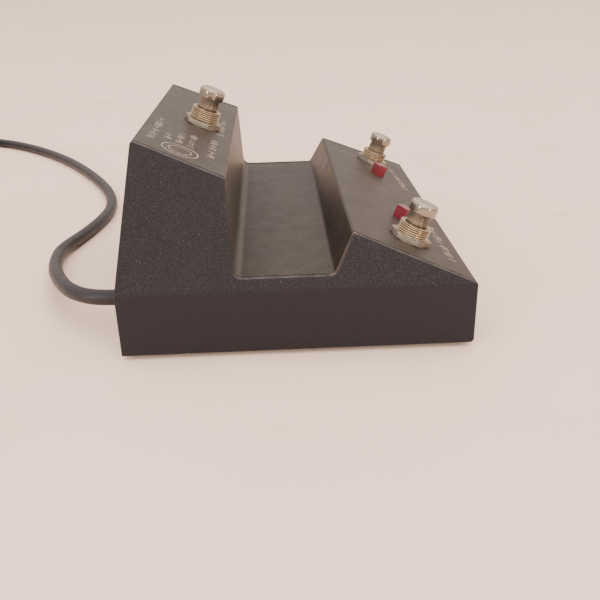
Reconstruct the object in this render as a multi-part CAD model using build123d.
from build123d import *
import math
import os

# Three-button amplifier footswitch. Millimetres, +Z up, front (the low deck) towards -Y,
# origin on the floor under the middle of the housing.

# ---- housing ---------------------------------------------------------------------------
BODY_DEPTH = 125.0
BODY_WIDTH = 164.0
FOOT_GAP = 1.8                  # floor to the skirt's lower edge
SKIRT_HEIGHT = 22.8             # upright part of every outer wall
SIDE_LEAN = 0.384               # sides lean in by this much per unit of height
DECK_TILT = 22.5                # both decks fall towards the player, degrees
SHEET = 1.6
BEND_RADIUS = 1.0               # outer radius of the folded panel's bends
KNEE_RADIUS = 2.0               # outer radius of a side panel's bend
WELL_FRONT_RADIUS = 2.2
WELL_REAR_RADIUS = 3.4
TOE_ROUNDING = 1.4              # lower front edge
SEAM = 0.9                      # open seam between the folded panel and a side panel
RIM_ROUNDING = 0.45
FRONT_DECK_TOP_Y = -19.9
WELL_FRONT_Y = -13.2
WELL_REAR_Y = 22.0
WELL_HEIGHT = 27.06             # above the skirt's lower edge, as is the next height
REAR_DECK_LOW_Y = 23.2
REAR_DECK_HIGH_Y = 54.4
REAR_DECK_HEIGHT = 71.85

# ---- base ------------------------------------------------------------------------------
BASE_BOTTOM = 2.5
BASE_CLEARANCE = 0.3
FOOT_RADIUS = 6.35
FOOT_X = 62.0
FOOT_Y = 46.0
BRACKET_SHEET = 1.2
BRACKET_REACH = 17.0
BRACKET_HEIGHT = 12.0
SCREW_INSET = 7.0               # screw axis to the inner faces of both walls
SCREW_RADIUS = 1.5
SCREW_HEAD_RADIUS = 2.8
SCREW_HEAD_HEIGHT = 1.6
SCREW_SLOT = (5.6, 0.8, 1.2)
SCREW_REACH = 5.5

# ---- foot switches, in a frame whose Z is the switch's axis and 0 is the deck's face ----
THREAD_RADIUS = 5.95            # 15/32 inch bushing
THREAD_PITCH = 25.4 / 32
THREAD_DEPTH = 0.4
BUSHING_LENGTH = 11.0
BUSHING_BORE = 4.20
BUSHING_FLANGE_RADIUS = 7.2
BUSHING_FLANGE = 1.2
PANEL_HOLE_RADIUS = 6.1
NUT_ACROSS_FLATS = 14.0
NUT_HEIGHT = 1.7
NUT_CHAMFER = (0.35, 0.65)      # down the flanks, in from the corners
INNER_NUT_HEIGHT = 2.0
WASHER_RADIUS = 6.8
WASHER_THICKNESS = 0.5
BUSHING_RISE = 6.3              # how far a bushing stands above the deck
TRAVEL = 3.3
CLEARANCE = 0.3                 # between moving and fixed pieces
CAP_RADIUS = 5.3
CAP_HEIGHT = 4.2
CAP_ROUNDING = 1.45
NECK_RADIUS = 4.15
NECK_SHOWING = 4.5
STEM_RADIUS = 2.5
FRAME_SHEET = 1.0
CASING_X = 15.5
CASING_Y = 16.0
CASING_HEIGHT = 11.5
CAVITY_RADIUS = 6.0
SLIDER_RADIUS = 5.6
SLIDER_HEIGHT = 3.4
CONTACT_INNER_RADIUS = 3.2
CONTACT_OUTER_RADIUS = 5.2
CONTACT_THICKNESS = 0.6
TERMINAL_BASE = 2.5
POST_RADIUS = 0.9
POST_OFFSET = 4.2
LUG_WIDTH = 2.4
LUG_THICKNESS = 0.8
LUG_LENGTH = 3.5
LEG_WIDTH = 9.0
LEG_LIP = 2.1
LEG_LIP_SHEET = 0.6
SPRING_RADIUS = 2.2
SPRING_WIRE = 0.5
SPRING_TURNS = 5.5
SPRING_GAP = 0.05

# name: (x, y, turn of the nut in degrees, how much higher the switch is mounted)
SWITCHES = {
    "front_left": (-57.8, -42.4, 9.0, 0.0),
    "front_right": (58.6, -43.4, 35.0, -0.3),
    "rear": (0.0, 35.5, 17.0, 0.6),
}

# ---- indicator lamps -------------------------------------------------------------------
LAMP_SIDE = 5.0
LAMP_HEIGHT = 5.0
LAMP_SHANK_RADIUS = 2.5
LAMP_SHANK = 4.0
LAMP_HOLE_RADIUS = 2.6
LAMP_EDGE = 0.25
LEAD_SPACING = 2.54
LEAD_RADIUS = 0.25
LEAD_LENGTH = 10.0
# name: (x, y, turn about the deck's normal in degrees)
LAMPS = {
    "lamp_left": (-32.3, -43.4, -44.0),
    "lamp_right": (34.0, -43.1, 20.0),
}

# ---- wiring ----------------------------------------------------------------------------
STRIP_LENGTH = 82.0
STRIP_WIDTH = 16.0
STRIP_THICKNESS = 1.6
STRIP_Y = 4.0
STRIP_LIFT = 1.0
TAG_Y = 8.0
TAG_COUNT = 15
TAG_SPACING = 5.0
TAG_WIDTH = 2.4
TAG_THICKNESS = 0.6
TAG_RISE = 1.8
RIVET_RADIUS = 1.2
RIVET_HEAD_RADIUS = 2.2
RIVET_HEAD = 0.7
RIVET_INSET = 2.6
RESISTOR_RADIUS = 1.15
RESISTOR_LENGTH = 6.5
RESISTOR_LEAD = 3.0
RESISTOR_X = 18.0
RESISTOR_Y = -0.5
WIRE_RADIUS = 0.55
WIRE_BEND = 1.0
REAR_WIRE_LEVEL = 17.0
CONDUCTOR_RADIUS = 0.45
CONDUCTOR_SPACING = 1.1

# ---- cord ------------------------------------------------------------------------------
CORD_RADIUS = 3.0
CORD_X = -56.0
CORD_Z = 13.2
RELIEF_HOLE_RADIUS = 5.1
RELIEF_FLANGE_RADIUS = 6.4
RELIEF_LIP_RADIUS = 6.0
RELIEF_NOSE = 2.0               # how far it stands out of the rear wall
RELIEF_FLANGE = 1.4
RELIEF_LIP = 2.0
RELIEF_NOSE_RADIUS = 4.0
CORD_START_Y = BODY_DEPTH / 2 + RELIEF_NOSE
BEND_SHARE = 0.45               # part of the shorter run that an arc of the cord takes up
TAIL_END_Y = 47.0
GRIP_Y = 53.0
GRIP_WIDTH = 3.0
GRIP_RADIUS = 4.2

# The free lead, from the strain relief to where it joins the coil.
LEAD_ROUTE = [
    (-56.0, 64.5, 13.2), (-56.0, 73.0, 13.2), (-52.8, 80.9, 13.1), (-46.2, 87.7, 12.7),
    (-33.8, 94.3, 11.2), (-15.3, 101.6, 8.6), (5.0, 106.6, 5.9), (24.0, 109.0, 4.0),
    (46.0, 103.4, 3.1), (68.0, 99.2, 3.0), (86.0, 97.6, 3.0), (106.0, 100.2, 3.0),
    (130.0, 107.8, 3.0), (158.0, 121.0, 3.0), (188.0, 138.0, 3.0), (216.0, 157.0, 3.0),
    (242.0, 179.4, 3.0), (263.0, 202.5, 3.0), (277.0, 226.0, 3.0), (288.5, 251.0, 3.3),
    (296.5, 276.6, 3.8),
]

COIL_X = 247.0
COIL_Y = 290.0
COIL_COLUMNS = 4
COIL_LAYERS = 4
COIL_TURN_RADIUS = 42.5         # at the middle of the turns
COIL_CORNER = 3.0
TIE_THICKNESS = 0.8
TIE_ARC = 16.0                  # width of each strap, degrees round the coil
TIE_ANGLES = (-75.0, 130.0)

# The free end, from the coil's top layer down to the plug.
END_ROUTE = [
    (260.3, 339.8, 21.8), (239.0, 344.6, 20.8), (219.5, 347.8, 15.6), (200.0, 349.4, 10.4),
    (182.5, 349.8, 7.8), (169.0, 349.8, 7.6),
]
PLUG_BODY_RADIUS = 7.6
PLUG_BODY_LENGTH = 27.0
PLUG_BODY_ROUNDING = 1.5
PLUG_BOOT_LENGTH = 14.0
PLUG_BOOT_RADII = (3.9, 5.6)
PLUG_SLEEVE_RADIUS = 6.6
PLUG_SLEEVE_WALL = 0.8
PLUG_SLEEVE_STEP = 0.4          # how much narrower the sleeve is inside the body
PLUG_SLEEVE_SHOWING = 9.0
PLUG_SLEEVE_SEAT = 6.0
PLUG_INSERT_LENGTH = 8.0
PLUG_PIN_RADIUS = 0.72
PLUG_PIN_CIRCLE = 3.5
PLUG_PIN_REACH = 7.5
PLUG_PIN_ANGLES = (0, 45, 90, 135, 180)

# ---- worked out from the above ----------------------------------------------------------
FRONT_Y = -BODY_DEPTH / 2
REAR_Y = BODY_DEPTH / 2
SLOPE = math.tan(math.radians(DECK_TILT))
KNEE_Z = FOOT_GAP + SKIRT_HEIGHT
WELL_Z = FOOT_GAP + WELL_HEIGHT
REAR_TOP_Z = FOOT_GAP + REAR_DECK_HEIGHT
FRONT_TOP_Z = KNEE_Z + (FRONT_DECK_TOP_Y - FRONT_Y) * SLOPE
REAR_LOW_Z = REAR_TOP_Z - (REAR_DECK_HIGH_Y - REAR_DECK_LOW_Y) * SLOPE
BASE_TOP = BASE_BOTTOM + SHEET
INNER_X = BODY_WIDTH / 2 - SHEET
INNER_Y = REAR_Y - SHEET
STRIP_BOTTOM = BASE_TOP + STRIP_LIFT
STRIP_TOP = STRIP_BOTTOM + STRIP_THICKNESS
TAG_TOP = STRIP_TOP + TAG_RISE
CORD_DIAMETER = 2 * CORD_RADIUS
MARGIN = 1.0                    # how far a cutting shape runs past what it cuts
THROUGH = 12.0                  # length of a cutter centred on a wall, board or plate

# Heights along a switch's axis.
CAP_BOTTOM = BUSHING_RISE + NECK_SHOWING
FRAME_TOP = BUSHING_RISE - BUSHING_LENGTH
CASING_TOP = FRAME_TOP - FRAME_SHEET
SLIDER_TOP = CASING_TOP - BUSHING_FLANGE - CLEARANCE
CONTACT_TOP = SLIDER_TOP - SLIDER_HEIGHT
POST_TOP = CONTACT_TOP - CONTACT_THICKNESS - TRAVEL - CLEARANCE
BOARD_TOP = CASING_TOP - CASING_HEIGHT
BOARD_BOTTOM = BOARD_TOP - TERMINAL_BASE
LUG_END = BOARD_BOTTOM - LUG_LENGTH

nodes = {}


def annulus(outer, inner, bottom, top):
    """Ring about the local Z axis, or a plain disc when inner is 0."""
    middle = Pos(0, 0, (bottom + top) / 2)
    ring = middle * Cylinder(outer, top - bottom)
    if inner:
        ring -= middle * Cylinder(inner, top - bottom + MARGIN)
    return ring


def block(x_range, y_range, z_range):
    """Rectangular solid from its lowest and highest coordinates."""
    ranges = (x_range, y_range, z_range)
    middle = [(low + high) / 2 for low, high in ranges]
    return Pos(*middle) * Box(*[high - low for low, high in ranges])


def tube(points, radius, bend):
    """Round bar along straight runs joined by arcs; bend is one radius or one per corner."""
    path = FilletPolyline(*points, radius=bend)
    return sweep(Plane(origin=path @ 0, z_dir=path % 0) * Circle(radius), path=path)


def deck_height(y):
    """Height of the deck's outer face at y."""
    if y < FRONT_DECK_TOP_Y:
        return KNEE_Z + (y - FRONT_Y) * SLOPE
    return REAR_TOP_Z - (REAR_DECK_HIGH_Y - y) * SLOPE


def on_deck(x, y):
    """Local frame on a deck: Z along the deck's outward normal."""
    return Location((x, y, deck_height(y)), (DECK_TILT, 0, 0))


# ---- housing ---------------------------------------------------------------------------
def side_outline():
    """The housing's outline seen from the side, open at the bottom, with its bends."""
    corners = [
        (FRONT_Y, FOOT_GAP), (FRONT_Y, KNEE_Z), (FRONT_DECK_TOP_Y, FRONT_TOP_Z),
        (WELL_FRONT_Y, WELL_Z), (WELL_REAR_Y, WELL_Z), (REAR_DECK_LOW_Y, REAR_LOW_Z),
        (REAR_DECK_HIGH_Y, REAR_TOP_Z), (REAR_Y, KNEE_Z), (REAR_Y, FOOT_GAP),
    ]
    radii = [BEND_RADIUS, BEND_RADIUS, WELL_FRONT_RADIUS, WELL_REAR_RADIUS,
             BEND_RADIUS, BEND_RADIUS, BEND_RADIUS]
    return FilletPolyline(*corners, radius=radii)


def solid_envelope():
    """The housing's outer shape from front to rear, as wide as the skirt."""
    outline = side_outline()
    face = make_face(outline + Line(outline @ 1, outline @ 0))
    toe = face.vertices().sort_by_distance((FRONT_Y, FOOT_GAP))[0]
    return extrude(Plane.YZ * fillet(toe, TOE_ROUNDING), BODY_WIDTH / 2, both=True)


def end_section(inset):
    """The space between the side walls seen from the front, inset from their outer faces."""
    rise = REAR_TOP_Z + SHEET - KNEE_Z
    lean_shift = inset * (math.hypot(1, SIDE_LEAN) - 1)
    knee = KNEE_Z - lean_shift / SIDE_LEAN
    foot = BODY_WIDTH / 2 - inset
    top = foot - SIDE_LEAN * (rise + KNEE_Z - knee)
    right = FilletPolyline((foot, -MARGIN), (foot, knee), (top, KNEE_Z + rise), radius=KNEE_RADIUS)
    left = mirror(right, Plane.YZ)
    bottom = Line((-foot, -MARGIN), (foot, -MARGIN))
    lid = Line(right @ 1, left @ 1)
    return extrude(Plane.XZ * make_face(right + left + bottom + lid), BODY_DEPTH / 2, both=True)


def make_side_panels(envelope):
    """Two side walls, each bent at the top of the skirt, with softened outer rims."""
    walls = (envelope & end_section(0)) - end_section(SHEET)
    for wall in walls.solids():
        outward = 1 if wall.center().X > 0 else -1
        rim = []
        for face in wall.faces():
            flat_outside = face.geom_type == GeomType.PLANE and face.normal_at().X * outward > 0.5
            if flat_outside:
                rim += [edge for edge in face.edges() if not is_knee(edge)]
        name = "side_panel_right" if outward > 0 else "side_panel_left"
        nodes[name] = wall.fillet(RIM_ROUNDING, rim)


def is_knee(edge):
    """True on the long edges where a side wall bends at the top of the skirt."""
    middle = edge.center()
    along_depth = abs(edge.tangent_at(0.5).Y) > 0.999
    return along_depth and abs(middle.Z - KNEE_Z) < KNEE_RADIUS


def make_wrap_panel(envelope):
    """One sheet folded into the front wall, front deck, well, rear deck and rear wall."""
    outline = side_outline()
    section = make_face(offset(outline, SHEET, side=Side.RIGHT, kind=Kind.ARC))
    sheet = extrude(Plane.YZ * section, BODY_WIDTH / 2, both=True) & end_section(SHEET + SEAM)
    sheet &= envelope
    for x, y, _, _ in SWITCHES.values():
        sheet -= on_deck(x, y) * Cylinder(PANEL_HOLE_RADIUS, THROUGH)
    for x, y, _ in LAMPS.values():
        sheet -= on_deck(x, y) * Cylinder(LAMP_HOLE_RADIUS, THROUGH)
    cord_hole = Location((CORD_X, REAR_Y, CORD_Z), (90, 0, 0))
    sheet -= cord_hole * Cylinder(RELIEF_HOLE_RADIUS, THROUGH)
    nodes["wrap_panel"] = sheet


def corners_of_base():
    """Direction signs of the four corners."""
    return [(sx, sy) for sx in (-1, 1) for sy in (-1, 1)]


def screw_centre(sx, sy):
    return sx * (INNER_X - SCREW_INSET), sy * (INNER_Y - SCREW_INSET)


def make_corner_brackets():
    """Pressed corner gussets that join the walls and take the base screws."""
    brackets = []
    low = BASE_TOP
    for sx, sy in corners_of_base():
        reach_x = sorted((sx * INNER_X, sx * (INNER_X - BRACKET_REACH)))
        reach_y = sorted((sy * INNER_Y, sy * (INNER_Y - BRACKET_REACH)))
        skin_x = sorted((sx * INNER_X, sx * (INNER_X - BRACKET_SHEET)))
        skin_y = sorted((sy * INNER_Y, sy * (INNER_Y - BRACKET_SHEET)))
        bracket = block(reach_x, reach_y, (low, low + BRACKET_SHEET))
        bracket += block(reach_x, skin_y, (low, low + BRACKET_HEIGHT))
        bracket += block(skin_x, reach_y, (low, low + BRACKET_HEIGHT))
        bracket -= Pos(*screw_centre(sx, sy), low) * Cylinder(SCREW_RADIUS, THROUGH)
        brackets.append(bracket)
    nodes["corner_brackets"] = Compound(brackets)


def make_base():
    """Flat bottom cover, its four screws and its four rubber feet."""
    half_x = INNER_X - BASE_CLEARANCE
    half_y = INNER_Y - BASE_CLEARANCE
    plate = block((-half_x, half_x), (-half_y, half_y), (BASE_BOTTOM, BASE_TOP))
    screws = []
    feet = []
    for sx, sy in corners_of_base():
        x, y = screw_centre(sx, sy)
        plate -= Pos(x, y, BASE_TOP) * Cylinder(SCREW_RADIUS, THROUGH)
        head = annulus(SCREW_HEAD_RADIUS, 0, BASE_BOTTOM - SCREW_HEAD_HEIGHT, BASE_BOTTOM)
        head = fillet(head.edges().group_by(Axis.Z)[0], SCREW_HEAD_HEIGHT / 2)
        shank = annulus(SCREW_RADIUS, 0, BASE_BOTTOM, BASE_BOTTOM + SCREW_REACH)
        slot = Pos(0, 0, BASE_BOTTOM - SCREW_HEAD_HEIGHT) * Box(*SCREW_SLOT)
        screws.append(Pos(x, y, 0) * (head + shank - slot))
        foot = Pos(sx * FOOT_X, sy * FOOT_Y, BASE_BOTTOM / 2) * Cylinder(FOOT_RADIUS, BASE_BOTTOM)
        feet.append(fillet(foot.edges().group_by(Axis.Z)[0], BASE_BOTTOM / 3))
    for sx in (-1, 1):
        plate -= Pos(sx * rivet_x(), STRIP_Y, BASE_TOP) * Cylinder(RIVET_RADIUS, THROUGH)
    nodes["base_plate"] = plate
    nodes["base_screws"] = Compound(screws)
    nodes["rubber_feet"] = Compound(feet)


# ---- foot switches ---------------------------------------------------------------------
def thread_section(bottom, top):
    """Half section of the threaded barrel: one tooth per pitch, down the outside."""
    teeth = int((top - bottom) / THREAD_PITCH)
    start = top - teeth * THREAD_PITCH
    points = [(BUSHING_BORE, bottom), (THREAD_RADIUS, bottom), (THREAD_RADIUS, start)]
    for tooth in range(teeth):
        base = start + tooth * THREAD_PITCH
        points.append((THREAD_RADIUS - THREAD_DEPTH, base + THREAD_PITCH / 2))
        points.append((THREAD_RADIUS, base + THREAD_PITCH))
    points += [(BUSHING_BORE + THREAD_DEPTH, top), (BUSHING_BORE, top - THREAD_DEPTH)]
    return Plane.XZ * make_face(Polyline(*points, close=True))


def make_bushing():
    """Threaded barrel with the flange that the frame clamps."""
    barrel = revolve(thread_section(CASING_TOP, BUSHING_RISE), Axis.Z)
    flange = annulus(BUSHING_FLANGE_RADIUS, BUSHING_BORE, CASING_TOP - BUSHING_FLANGE, CASING_TOP)
    return barrel + flange


def make_frame():
    """Steel strap over the casing: a top plate and two legs with lips turned under."""
    half_x = CASING_X / 2 + FRAME_SHEET
    half_leg = LEG_WIDTH / 2
    strap = block((-half_x, half_x), (-CASING_Y / 2, CASING_Y / 2), (CASING_TOP, FRAME_TOP))
    for side in (-1, 1):
        leg = sorted((side * CASING_X / 2, side * half_x))
        lip = sorted((side * (half_x - LEG_LIP), side * half_x))
        strap += block(leg, (-half_leg, half_leg), (BOARD_BOTTOM, FRAME_TOP))
        strap += block(lip, (-half_leg, half_leg), (BOARD_BOTTOM - LEG_LIP_SHEET, BOARD_BOTTOM))
    return strap - Pos(0, 0, FRAME_TOP) * Cylinder(THREAD_RADIUS, THROUGH)


def make_casing():
    """Moulded casing with a round cavity and a seat for the bushing's flange."""
    half_x = CASING_X / 2
    half_y = CASING_Y / 2
    casing = block((-half_x, half_x), (-half_y, half_y), (BOARD_TOP, CASING_TOP))
    casing -= annulus(CAVITY_RADIUS, 0, BOARD_TOP - MARGIN, CASING_TOP)
    return casing - annulus(BUSHING_FLANGE_RADIUS, 0, CASING_TOP - BUSHING_FLANGE, CASING_TOP + MARGIN)


def make_terminal_base():
    """Board that closes the casing and holds the two terminals."""
    half_x = CASING_X / 2
    half_y = CASING_Y / 2
    board = block((-half_x, half_x), (-half_y, half_y), (BOARD_BOTTOM, BOARD_TOP))
    for side in (-1, 1):
        board -= Pos(side * POST_OFFSET, 0, BOARD_TOP) * Cylinder(POST_RADIUS, THROUGH)
    return board


def make_terminals():
    """Two fixed contacts, each a post above the board and a solder lug below it."""
    terminals = []
    for side in (-1, 1):
        lug_x = sorted((side * POST_OFFSET - LUG_WIDTH / 2, side * POST_OFFSET + LUG_WIDTH / 2))
        lug = block(lug_x, (-LUG_THICKNESS / 2, LUG_THICKNESS / 2), (LUG_END, BOARD_BOTTOM))
        post = Pos(side * POST_OFFSET, 0, 0) * annulus(POST_RADIUS, 0, BOARD_BOTTOM, POST_TOP)
        terminals.append(lug + post)
    return Compound(terminals)


def make_button():
    """Plated push cap on a hollow neck."""
    cap = annulus(CAP_RADIUS, 0, CAP_BOTTOM, CAP_BOTTOM + CAP_HEIGHT)
    cap = fillet(cap.edges().group_by(Axis.Z)[-1], CAP_ROUNDING)
    neck = annulus(NECK_RADIUS, 0, SLIDER_TOP, CAP_BOTTOM)
    return cap + neck - annulus(STEM_RADIUS, 0, SLIDER_TOP - MARGIN, BUSHING_RISE)


def make_slider():
    """Moulded carrier under the button, with a stem pressed into the button's neck."""
    carrier = annulus(SLIDER_RADIUS, 0, CONTACT_TOP, SLIDER_TOP)
    return carrier + annulus(STEM_RADIUS, 0, SLIDER_TOP, BUSHING_RISE)


def make_contact():
    """Bridging ring under the slider."""
    return annulus(CONTACT_OUTER_RADIUS, CONTACT_INNER_RADIUS,
                   CONTACT_TOP - CONTACT_THICKNESS, CONTACT_TOP)


def make_spring():
    """Return spring between the terminal board and the slider."""
    rise = CONTACT_TOP - SPRING_GAP - BOARD_TOP - SPRING_WIRE
    path = Pos(0, 0, BOARD_TOP + SPRING_WIRE / 2) * Helix(rise / SPRING_TURNS, rise, SPRING_RADIUS)
    return sweep(Plane(origin=path @ 0, z_dir=path % 0) * Circle(SPRING_WIRE / 2), path=path)


def hexagon_nut(bottom, top):
    """Thin nut, its upper corners chamfered."""
    flats = RegularPolygon(NUT_ACROSS_FLATS / 2, 6, major_radius=False)
    corner_radius = NUT_ACROSS_FLATS / math.sqrt(3)
    blank = annulus(corner_radius, 0, bottom, top)
    blank = chamfer(blank.edges().group_by(Axis.Z)[-1], *NUT_CHAMFER)
    nut = extrude(Pos(0, 0, bottom) * flats, top - bottom) & blank
    return nut - Pos(0, 0, bottom) * Cylinder(THREAD_RADIUS, THROUGH)


def make_switches():
    """Three identical push switches, each at its own height, with their nuts and washers."""
    nuts = []
    washers = []
    inner_nuts = []
    for name, (x, y, turn, lift) in SWITCHES.items():
        place = on_deck(x, y)
        raised = place * Pos(0, 0, lift)
        pieces = {
            "bushing": make_bushing(), "frame": make_frame(), "casing": make_casing(),
            "terminal_base": make_terminal_base(), "terminals": make_terminals(),
            "button": make_button(), "slider": make_slider(), "contact": make_contact(),
            "spring": make_spring(),
        }
        for piece, solid in pieces.items():
            nodes[f"{name}_{piece}"] = raised * solid
        turned = place * Rot(0, 0, turn)
        washers.append(place * annulus(WASHER_RADIUS, PANEL_HOLE_RADIUS, 0, WASHER_THICKNESS))
        nuts.append(turned * hexagon_nut(WASHER_THICKNESS, WASHER_THICKNESS + NUT_HEIGHT))
        inner_nuts.append(turned * hexagon_nut(-SHEET - INNER_NUT_HEIGHT, -SHEET))
    nodes["switch_nuts"] = Compound(nuts)
    nodes["lock_washers"] = Compound(washers)
    nodes["inner_nuts"] = Compound(inner_nuts)


# ---- lamps and wiring ------------------------------------------------------------------
def make_lamps():
    """Square lamps standing on the front deck, each with a round shank and two leads."""
    leads = []
    for name, (x, y, turn) in LAMPS.items():
        place = on_deck(x, y) * Rot(0, 0, turn)
        head = Pos(0, 0, LAMP_HEIGHT / 2) * Box(LAMP_SIDE, LAMP_SIDE, LAMP_HEIGHT)
        upper = head.edges().filter_by(Axis.Z) + head.edges().group_by(Axis.Z)[-1]
        head = fillet(upper, LAMP_EDGE)
        nodes[name] = place * (head + annulus(LAMP_SHANK_RADIUS, 0, -LAMP_SHANK, 0))
        for side in (-1, 1):
            lead = annulus(LEAD_RADIUS, 0, -LAMP_SHANK - LEAD_LENGTH, -LAMP_SHANK)
            leads.append(place * Pos(side * LEAD_SPACING / 2, 0, 0) * lead)
    nodes["lamp_leads"] = Compound(leads)


def rivet_x():
    return STRIP_LENGTH / 2 - RIVET_INSET


def tag_x(index):
    return (index - (TAG_COUNT - 1) / 2) * TAG_SPACING


def make_tag_strip():
    """Insulating strip riveted to the base, its solder tags and two resistors."""
    strip = block((-STRIP_LENGTH / 2, STRIP_LENGTH / 2),
                  (STRIP_Y - STRIP_WIDTH / 2, STRIP_Y + STRIP_WIDTH / 2), (STRIP_BOTTOM, STRIP_TOP))
    rivets = []
    for sx in (-1, 1):
        strip -= Pos(sx * rivet_x(), STRIP_Y, STRIP_TOP) * Cylinder(RIVET_RADIUS, THROUGH)
        rivet = annulus(RIVET_RADIUS, 0, BASE_BOTTOM, STRIP_TOP)
        rivet += annulus(RIVET_HEAD_RADIUS, 0, BASE_BOTTOM - RIVET_HEAD, BASE_BOTTOM)
        rivet += annulus(RIVET_HEAD_RADIUS, 0, STRIP_TOP, STRIP_TOP + RIVET_HEAD)
        rivet += annulus(RIVET_HEAD_RADIUS, 0, BASE_TOP, STRIP_BOTTOM)
        rivets.append(Pos(sx * rivet_x(), STRIP_Y, 0) * rivet)
    tags = [
        block((tag_x(i) - TAG_WIDTH / 2, tag_x(i) + TAG_WIDTH / 2),
              (TAG_Y - TAG_THICKNESS / 2, TAG_Y + TAG_THICKNESS / 2), (STRIP_TOP, TAG_TOP))
        for i in range(TAG_COUNT)
    ]
    resistors = []
    for sx in (-1, 1):
        body = fillet(Cylinder(RESISTOR_RADIUS, RESISTOR_LENGTH).edges(), RESISTOR_RADIUS / 2)
        body += Cylinder(LEAD_RADIUS, RESISTOR_LENGTH + 2 * RESISTOR_LEAD)
        height = STRIP_TOP + RESISTOR_RADIUS
        resistors.append(Location((sx * RESISTOR_X, RESISTOR_Y, height), (0, 90, 0)) * body)
    nodes["tag_strip"] = strip
    nodes["tag_rivets"] = Compound(rivets)
    nodes["solder_tags"] = Compound(tags)
    nodes["resistors"] = Compound(resistors)


def wire_to_tag(start, index, radius, level=None):
    """Insulated wire: from start, level with it or with a given height, then down to a tag."""
    run = start[2] if level is None else level
    points = [start, (tag_x(index), TAG_Y, run), (tag_x(index), TAG_Y, TAG_TOP)]
    if level is not None:
        points.insert(1, (start[0], start[1], level))
    return tube(points, radius, WIRE_BEND)


def deck_point(x, y, side_offset, depth, turn=0.0):
    """A point under a deck, beside the axis of what is mounted there."""
    spot = on_deck(x, y) * Rot(0, 0, turn) * Pos(side_offset, 0, -depth)
    return tuple(spot.position)


def make_wires():
    """Wires from every lug and lamp lead, and the cord's own conductors, to the tags."""
    tags = {"front_left": (5, 6), "front_right": (12, 13), "rear": (10, 11)}
    switch_wires = []
    for name, (x, y, _, lift) in SWITCHES.items():
        level = REAR_WIRE_LEVEL if name == "rear" else None
        for side, index in zip((-1, 1), tags[name]):
            start = deck_point(x, y, side * POST_OFFSET, -LUG_END - lift)
            switch_wires.append(wire_to_tag(start, index, WIRE_RADIUS, level))
    lamp_tags = {"lamp_left": (7, 8), "lamp_right": (9, 14)}
    lamp_wires = []
    for name, (x, y, turn) in LAMPS.items():
        for side, index in zip((-1, 1), lamp_tags[name]):
            start = deck_point(x, y, side * LEAD_SPACING / 2, LAMP_SHANK + LEAD_LENGTH, turn)
            lamp_wires.append(wire_to_tag(start, index, WIRE_RADIUS))
    conductors = []
    for index in range(5):
        start = (CORD_X + (index - 2) * CONDUCTOR_SPACING, TAIL_END_Y, CORD_Z)
        conductors.append(wire_to_tag(start, index, CONDUCTOR_RADIUS))
    nodes["switch_wires"] = Compound(switch_wires)
    nodes["lamp_wires"] = Compound(lamp_wires)
    nodes["cord_conductors"] = Compound(conductors)


# ---- cord ------------------------------------------------------------------------------
def along_y(x, z):
    """Local frame whose Z runs towards the rear."""
    return Location((x, 0, z), (-90, 0, 0))


def make_cord_exit():
    """Strain relief in the rear wall, the jacket's inner end and the grip behind the wall."""
    place = along_y(CORD_X, CORD_Z)
    relief = annulus(RELIEF_LIP_RADIUS, 0, INNER_Y - RELIEF_LIP, INNER_Y)
    relief += annulus(RELIEF_HOLE_RADIUS, 0, INNER_Y, REAR_Y)
    relief += annulus(RELIEF_FLANGE_RADIUS, 0, REAR_Y, REAR_Y + RELIEF_FLANGE)
    nose = Pos(0, 0, REAR_Y + (RELIEF_FLANGE + RELIEF_NOSE) / 2)
    relief += nose * Cone(RELIEF_HOLE_RADIUS, RELIEF_NOSE_RADIUS, RELIEF_NOSE - RELIEF_FLANGE)
    relief -= annulus(CORD_RADIUS, 0, INNER_Y - RELIEF_LIP - MARGIN, CORD_START_Y + MARGIN)
    nodes["strain_relief"] = place * relief
    nodes["cord_tail"] = place * annulus(CORD_RADIUS, 0, TAIL_END_Y, CORD_START_Y)
    nodes["cord_grip"] = place * annulus(GRIP_RADIUS, CORD_RADIUS, GRIP_Y, GRIP_Y + GRIP_WIDTH)


def bend_radii(route):
    """One arc per corner, as large as its two runs allow."""
    radii = []
    for before, corner, after in zip(route, route[1:], route[2:]):
        come = Vector(*corner) - Vector(*before)
        leave = Vector(*after) - Vector(*corner)
        half_turn = math.radians(come.get_angle(leave) / 2)
        radii.append(BEND_SHARE * min(come.length, leave.length) / math.tan(half_turn))
    return radii


def make_cord_tube(name, route):
    """Plain round tube of one stretch of the cord, with its radii and volume printed."""
    radii = bend_radii(route)
    solid = tube(route, CORD_RADIUS, radii)
    length = FilletPolyline(*route, radius=radii).length
    share = solid.volume / (math.pi * CORD_RADIUS ** 2 * length)
    print(f"{name}: length {length:.1f}, volume share {share:.4f}, radii {[round(r) for r in radii]}")
    nodes[name] = solid


def make_coil():
    """Outer shape of the wound length, and the two straps round it."""
    wide = COIL_COLUMNS * CORD_DIAMETER
    tall = COIL_LAYERS * CORD_DIAMETER
    middle = TIE_THICKNESS + tall / 2
    inside = RectangleRounded(wide, tall, COIL_CORNER)
    outside = RectangleRounded(wide + 2 * TIE_THICKNESS, tall + 2 * TIE_THICKNESS,
                               COIL_CORNER + TIE_THICKNESS)
    section = Plane.XZ * Pos(COIL_TURN_RADIUS, middle) * inside
    band = Plane.XZ * Pos(COIL_TURN_RADIUS, middle) * (outside - inside)
    nodes["cord_coil"] = Pos(COIL_X, COIL_Y, 0) * revolve(section, Axis.Z)
    strap = revolve(band, Axis.Z, revolution_arc=TIE_ARC)
    ties = [Location((COIL_X, COIL_Y, 0), (0, 0, angle)) * strap for angle in TIE_ANGLES]
    nodes["coil_ties"] = Compound(ties)


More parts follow.
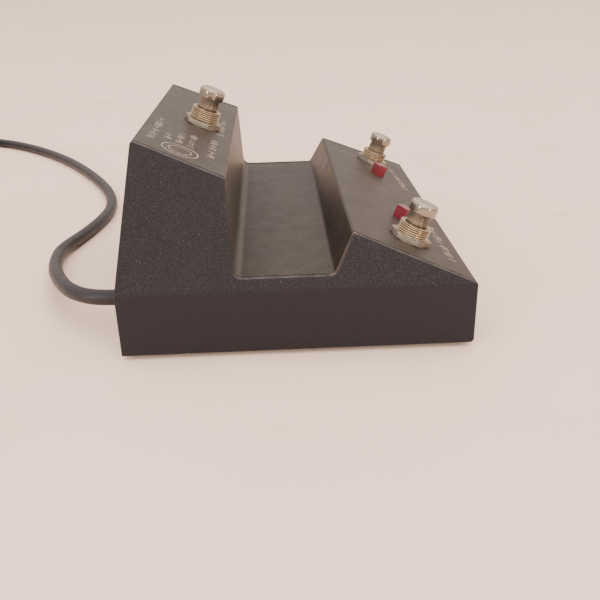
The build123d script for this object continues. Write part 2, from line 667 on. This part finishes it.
def make_plug():
    """Five-pin round plug lying on the floor, its mating end towards -X."""
    place = Location(END_ROUTE[-1], (0, -90, 0))
    body_end = PLUG_BOOT_LENGTH + PLUG_BODY_LENGTH
    seat = body_end - PLUG_SLEEVE_SEAT
    insert_end = seat + PLUG_INSERT_LENGTH
    inside = PLUG_SLEEVE_RADIUS - PLUG_SLEEVE_WALL
    seat_radius = PLUG_SLEEVE_RADIUS - PLUG_SLEEVE_STEP
    boot = Pos(0, 0, PLUG_BOOT_LENGTH / 2) * Cone(*PLUG_BOOT_RADII, PLUG_BOOT_LENGTH)
    body = annulus(PLUG_BODY_RADIUS, 0, PLUG_BOOT_LENGTH, body_end)
    body = fillet(body.edges().group_by(Axis.Z)[0], PLUG_BODY_ROUNDING)
    body -= annulus(seat_radius, 0, seat, body_end + MARGIN)
    sleeve = annulus(seat_radius, inside, seat, body_end)
    sleeve += annulus(PLUG_SLEEVE_RADIUS, inside, body_end, body_end + PLUG_SLEEVE_SHOWING)
    insert = annulus(inside, 0, seat, insert_end)
    pins = []
    for angle in PLUG_PIN_ANGLES:
        spot = Rot(0, 0, angle) * Pos(PLUG_PIN_CIRCLE, 0, 0)
        pin_start = insert_end - PLUG_PIN_REACH / 2
        pin = annulus(PLUG_PIN_RADIUS, 0, pin_start, pin_start + PLUG_PIN_REACH)
        pin = fillet(pin.edges().group_by(Axis.Z)[-1], PLUG_PIN_RADIUS / 2)
        insert -= spot * annulus(PLUG_PIN_RADIUS, 0, pin_start, insert_end + MARGIN)
        pins.append(place * spot * pin)
    nodes["plug_boot"] = place * boot
    nodes["plug_body"] = place * body
    nodes["plug_sleeve"] = place * sleeve
    nodes["plug_insert"] = place * insert
    nodes["plug_pins"] = Compound(pins)


def main():
    envelope = solid_envelope()
    make_side_panels(envelope)
    make_wrap_panel(envelope)
    make_corner_brackets()
    make_base()
    make_switches()
    make_lamps()
    make_tag_strip()
    make_wires()
    make_cord_exit()
    make_cord_tube("cord_lead", LEAD_ROUTE)
    make_cord_tube("cord_end", END_ROUTE)
    make_coil()
    make_plug()
    os.makedirs("parts", exist_ok=True)
    for name, shape in nodes.items():
        export_step(shape, f"parts/{name}.step")
    print(len(nodes), "nodes")


main()
